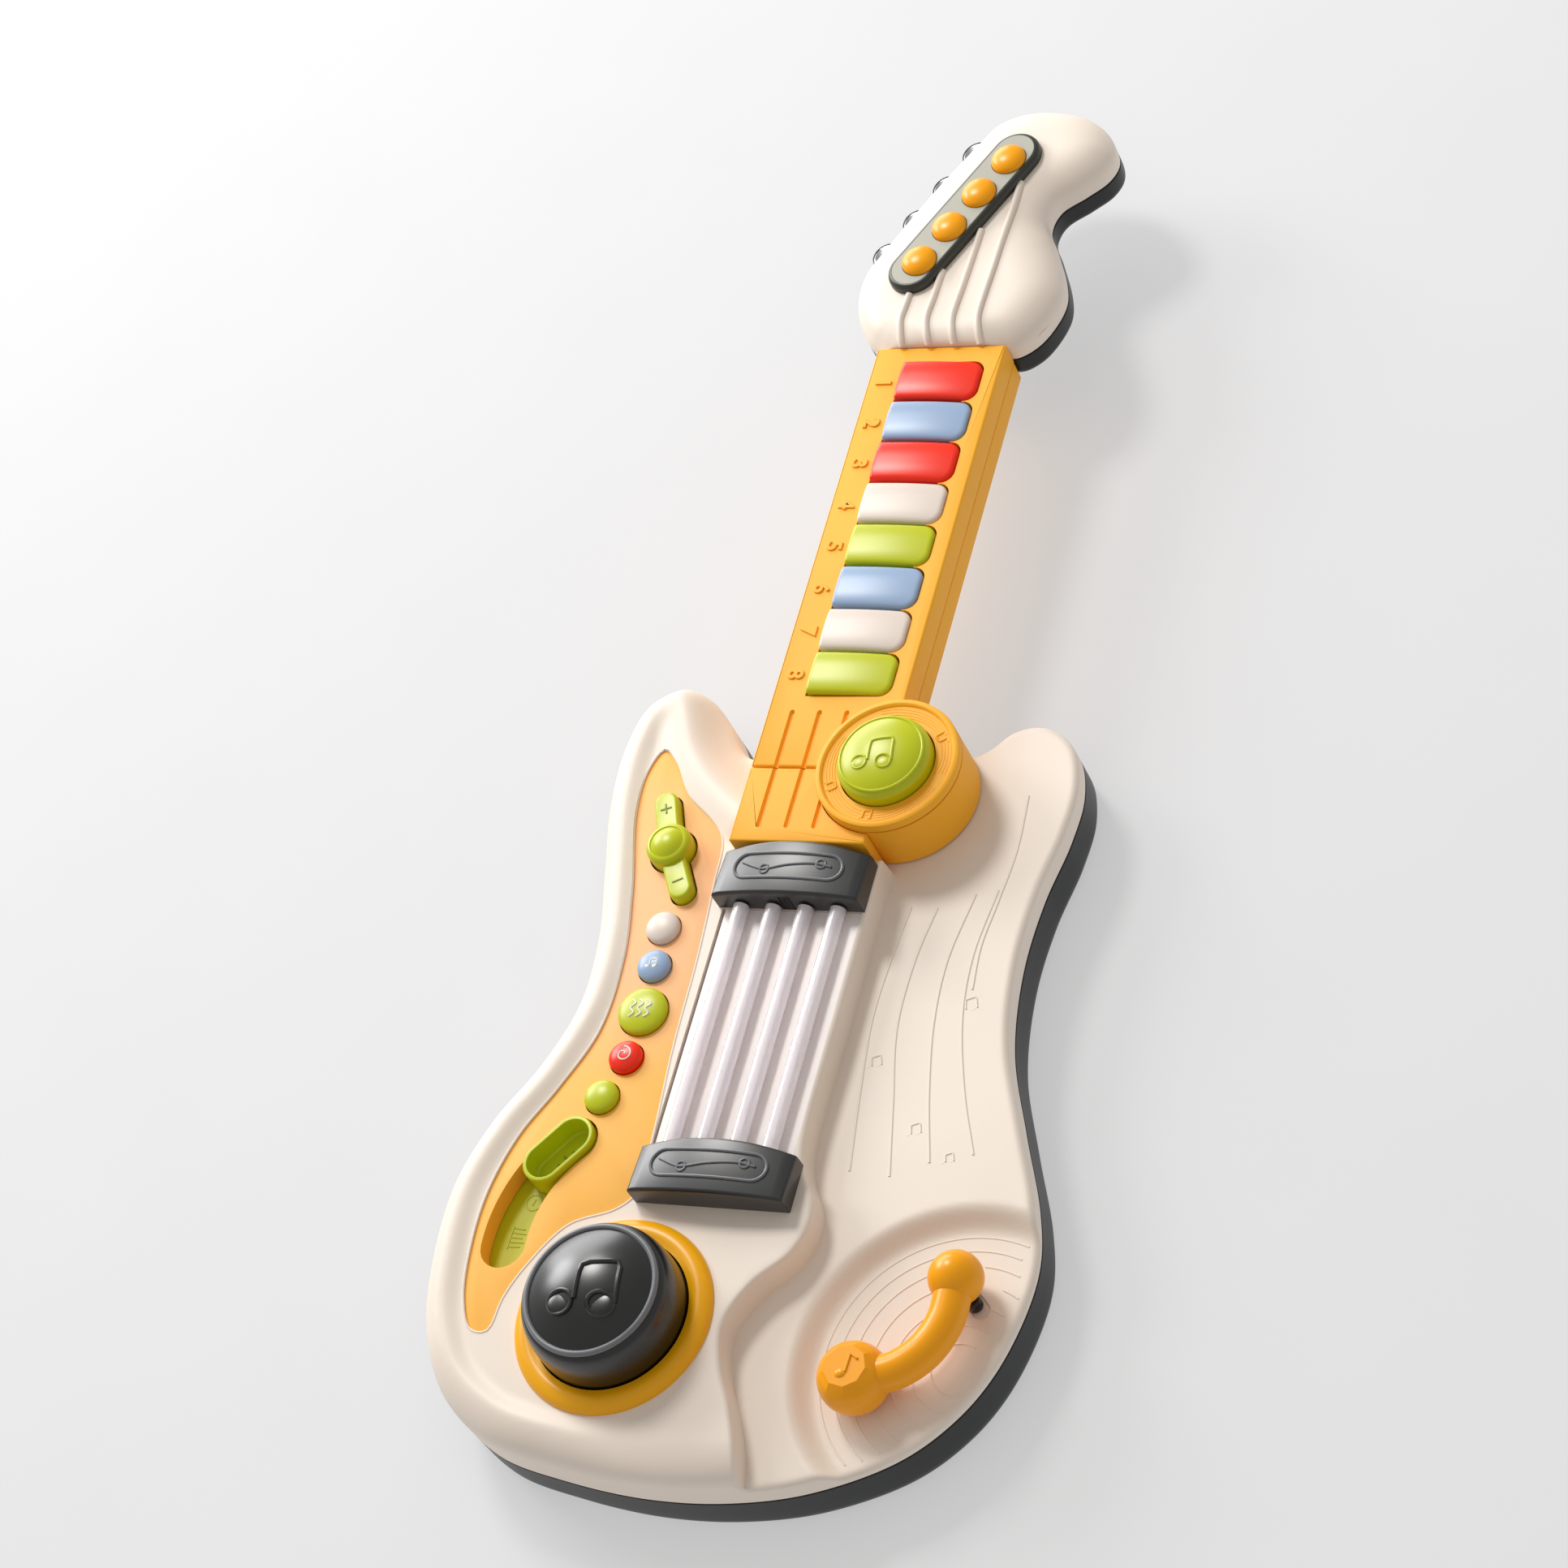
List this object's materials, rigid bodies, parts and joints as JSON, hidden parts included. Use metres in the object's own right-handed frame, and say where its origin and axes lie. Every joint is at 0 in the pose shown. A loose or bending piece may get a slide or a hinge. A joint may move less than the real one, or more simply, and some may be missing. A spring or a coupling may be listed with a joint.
{
  "type": "toy electric guitar",
  "caption": "Child-size toy electric guitar that lies flat: solid body with control panel, drum, strum bay and tremolo arm, and a keyed neck that folds over it on a round pivot.",
  "frame": {"origin": "middle of the footprint, on the flat back that the guitar lies on", "axes": "+Z out of the playing face, +Y along the neck to the headstock, +X to the side with the tremolo arm"},
  "size_m": [0.2176, 0.577, 0.068],
  "materials": {
    "cream_plastic": "satin moulded, warm off-white",
    "dark_plastic": "satin moulded, near-black grey",
    "orange_plastic": "satin moulded orange-yellow",
    "lime_plastic": "glossy moulded lime green",
    "blue_plastic": "glossy moulded light blue",
    "red_plastic": "glossy moulded red",
    "lavender_plastic": "pale lavender, slightly translucent",
    "clear_plastic": "clear light rods",
    "chromed_plastic": "chromed moulded paddles",
    "circuit_board": "green circuit board",
    "rubber": "pale key contact rubber",
    "battery_wrap": "printed film over a steel can",
    "steel": "plain steel"
  },
  "bodies": {
    "body": {"body_rear_shell": "dark_plastic", "body_front_shell": "cream_plastic", "control_panel": "orange_plastic", "drum_bezel": "orange_plastic", "neck_stub": "orange_plastic", "upper_bridge": "dark_plastic", "lower_bridge": "dark_plastic", "strum_bed": "lavender_plastic", "strum_sensor": "dark_plastic", "mode_track": "lime_plastic", "pivot_spindle": "steel", "main_circuit_board": "circuit_board", "speaker": "steel", "battery_door": "dark_plastic", "battery_door_screw": "steel", "string_light_1": "clear_plastic", "case_screw_1": "steel", "string_light_2": "clear_plastic", "case_screw_2": "steel", "string_light_3": "clear_plastic", "case_screw_3": "steel", "string_light_4": "clear_plastic", "case_screw_4": "steel", "battery_1": "battery_wrap", "battery_2": "battery_wrap", "battery_3": "battery_wrap"},
    "neck": {"neck_front_shell": "orange_plastic", "neck_rear_shell": "orange_plastic", "pivot_cap": "orange_plastic", "key_rubber_strip": "rubber", "neck_circuit_board": "circuit_board", "headstock_front_shell": "cream_plastic", "headstock_rear_shell": "dark_plastic", "tuner_plate": "dark_plastic"},
    "drum": {"drum_button": "dark_plastic"},
    "volume_rocker": {"volume_rocker": "lime_plastic"},
    "mode_slider": {"mode_slider": "lime_plastic"},
    "tremolo": {"tremolo_arm": "orange_plastic"},
    "pivot_button": {"pivot_button": "lime_plastic"},
    "panel_button_1": {"panel_button_1": "cream_plastic"},
    "panel_button_2": {"panel_button_2": "blue_plastic"},
    "panel_button_3": {"panel_button_3": "lime_plastic"},
    "panel_button_4": {"panel_button_4": "red_plastic"},
    "panel_button_5": {"panel_button_5": "lime_plastic"},
    "key_1": {"key_1": "red_plastic"},
    "key_2": {"key_2": "blue_plastic"},
    "key_3": {"key_3": "red_plastic"},
    "key_4": {"key_4": "cream_plastic"},
    "key_5": {"key_5": "lime_plastic"},
    "key_6": {"key_6": "blue_plastic"},
    "key_7": {"key_7": "cream_plastic"},
    "key_8": {"key_8": "lime_plastic"},
    "tuner_button_1": {"tuner_button_1": "orange_plastic"},
    "tuner_button_2": {"tuner_button_2": "orange_plastic"},
    "tuner_button_3": {"tuner_button_3": "orange_plastic"},
    "tuner_button_4": {"tuner_button_4": "orange_plastic"},
    "tuning_peg_1": {"tuning_peg_1": "chromed_plastic"},
    "tuning_peg_2": {"tuning_peg_2": "chromed_plastic"},
    "tuning_peg_3": {"tuning_peg_3": "chromed_plastic"},
    "tuning_peg_4": {"tuning_peg_4": "chromed_plastic"}
  },
  "joints": [
    {"name": "neck_fold", "type": "hinge", "parent": "body", "child": "neck", "pos_m": [0.01991, -0.02012, 0.036], "axis": [0, 0, -1], "range_deg": [0, 140]},
    {"name": "drum_press", "type": "slide", "parent": "body", "child": "drum", "axis": [0, 0, -1], "range_m": [0, 0.003], "stiffness_N_per_m": 500},
    {"name": "volume_rock", "type": "hinge", "parent": "body", "child": "volume_rocker", "pos_m": [-0.06099, -0.05072, 0.039], "axis": [0.9114, 0.4115, 0], "range_deg": [-4, 4], "stiffness_Nm_per_rad": 0.3},
    {"name": "panel_button_1_press", "type": "slide", "parent": "body", "child": "panel_button_1", "axis": [0, 0, -1], "range_m": [0, 0.0015], "stiffness_N_per_m": 300},
    {"name": "panel_button_2_press", "type": "slide", "parent": "body", "child": "panel_button_2", "axis": [0, 0, -1], "range_m": [0, 0.0015], "stiffness_N_per_m": 300},
    {"name": "panel_button_3_press", "type": "slide", "parent": "body", "child": "panel_button_3", "axis": [0, 0, -1], "range_m": [0, 0.0015], "stiffness_N_per_m": 300},
    {"name": "panel_button_4_press", "type": "slide", "parent": "body", "child": "panel_button_4", "axis": [0, 0, -1], "range_m": [0, 0.0015], "stiffness_N_per_m": 300},
    {"name": "panel_button_5_press", "type": "slide", "parent": "body", "child": "panel_button_5", "axis": [0, 0, -1], "range_m": [0, 0.0015], "stiffness_N_per_m": 300},
    {"name": "mode_select", "type": "hinge", "parent": "body", "child": "mode_slider", "pos_m": [-0.02749, -0.20482, 0.036], "axis": [0, 0, 1], "range_deg": [0, 36]},
    {"name": "tremolo_swing", "type": "hinge", "parent": "body", "child": "tremolo", "pos_m": [0.05991, -0.24492, 0.03], "axis": [0, 0, 1], "range_deg": [-9, 9], "stiffness_Nm_per_rad": 0.3},
    {"name": "pivot_button_press", "type": "slide", "parent": "neck", "child": "pivot_button", "axis": [0, 0, -1], "range_m": [0, 0.0015], "stiffness_N_per_m": 300},
    {"name": "key_1_press", "type": "hinge", "parent": "neck", "child": "key_1", "pos_m": [-0.02259, 0.15316, 0.045], "axis": [0, 1, 0], "range_deg": [0, 4], "stiffness_Nm_per_rad": 0.3},
    {"name": "key_2_press", "type": "hinge", "parent": "neck", "child": "key_2", "pos_m": [-0.02259, 0.13411, 0.045], "axis": [0, 1, 0], "range_deg": [0, 4], "stiffness_Nm_per_rad": 0.3},
    {"name": "key_3_press", "type": "hinge", "parent": "neck", "child": "key_3", "pos_m": [-0.02259, 0.11506, 0.045], "axis": [0, 1, 0], "range_deg": [0, 4], "stiffness_Nm_per_rad": 0.3},
    {"name": "key_4_press", "type": "hinge", "parent": "neck", "child": "key_4", "pos_m": [-0.02259, 0.096, 0.045], "axis": [0, 1, 0], "range_deg": [0, 4], "stiffness_Nm_per_rad": 0.3},
    {"name": "key_5_press", "type": "hinge", "parent": "neck", "child": "key_5", "pos_m": [-0.02259, 0.07695, 0.045], "axis": [0, 1, 0], "range_deg": [0, 4], "stiffness_Nm_per_rad": 0.3},
    {"name": "key_6_press", "type": "hinge", "parent": "neck", "child": "key_6", "pos_m": [-0.02259, 0.0579, 0.045], "axis": [0, 1, 0], "range_deg": [0, 4], "stiffness_Nm_per_rad": 0.3},
    {"name": "key_7_press", "type": "hinge", "parent": "neck", "child": "key_7", "pos_m": [-0.02259, 0.03886, 0.045], "axis": [0, 1, 0], "range_deg": [0, 4], "stiffness_Nm_per_rad": 0.3},
    {"name": "key_8_press", "type": "hinge", "parent": "neck", "child": "key_8", "pos_m": [-0.02259, 0.0198, 0.045], "axis": [0, 1, 0], "range_deg": [0, 4], "stiffness_Nm_per_rad": 0.3},
    {"name": "tuner_button_1_press", "type": "slide", "parent": "neck", "child": "tuner_button_1", "axis": [0, 0, -1], "range_m": [0, 0.0015], "stiffness_N_per_m": 300},
    {"name": "tuner_button_2_press", "type": "slide", "parent": "neck", "child": "tuner_button_2", "axis": [0, 0, -1], "range_m": [0, 0.0015], "stiffness_N_per_m": 300},
    {"name": "tuner_button_3_press", "type": "slide", "parent": "neck", "child": "tuner_button_3", "axis": [0, 0, -1], "range_m": [0, 0.0015], "stiffness_N_per_m": 300},
    {"name": "tuner_button_4_press", "type": "slide", "parent": "neck", "child": "tuner_button_4", "axis": [0, 0, -1], "range_m": [0, 0.0015], "stiffness_N_per_m": 300},
    {"name": "tuning_peg_1_turn", "type": "hinge", "parent": "neck", "child": "tuning_peg_1", "pos_m": [-0.04459, 0.22198, 0.039], "axis": [-0.8916, 0.4529, 0], "continuous": true},
    {"name": "tuning_peg_2_turn", "type": "hinge", "parent": "neck", "child": "tuning_peg_2", "pos_m": [-0.03608, 0.23874, 0.039], "axis": [-0.8916, 0.4529, 0], "continuous": true},
    {"name": "tuning_peg_3_turn", "type": "hinge", "parent": "neck", "child": "tuning_peg_3", "pos_m": [-0.02756, 0.2555, 0.039], "axis": [-0.8916, 0.4529, 0], "continuous": true},
    {"name": "tuning_peg_4_turn", "type": "hinge", "parent": "neck", "child": "tuning_peg_4", "pos_m": [-0.01905, 0.27227, 0.039], "axis": [-0.8916, 0.4529, 0], "continuous": true}
  ]
}
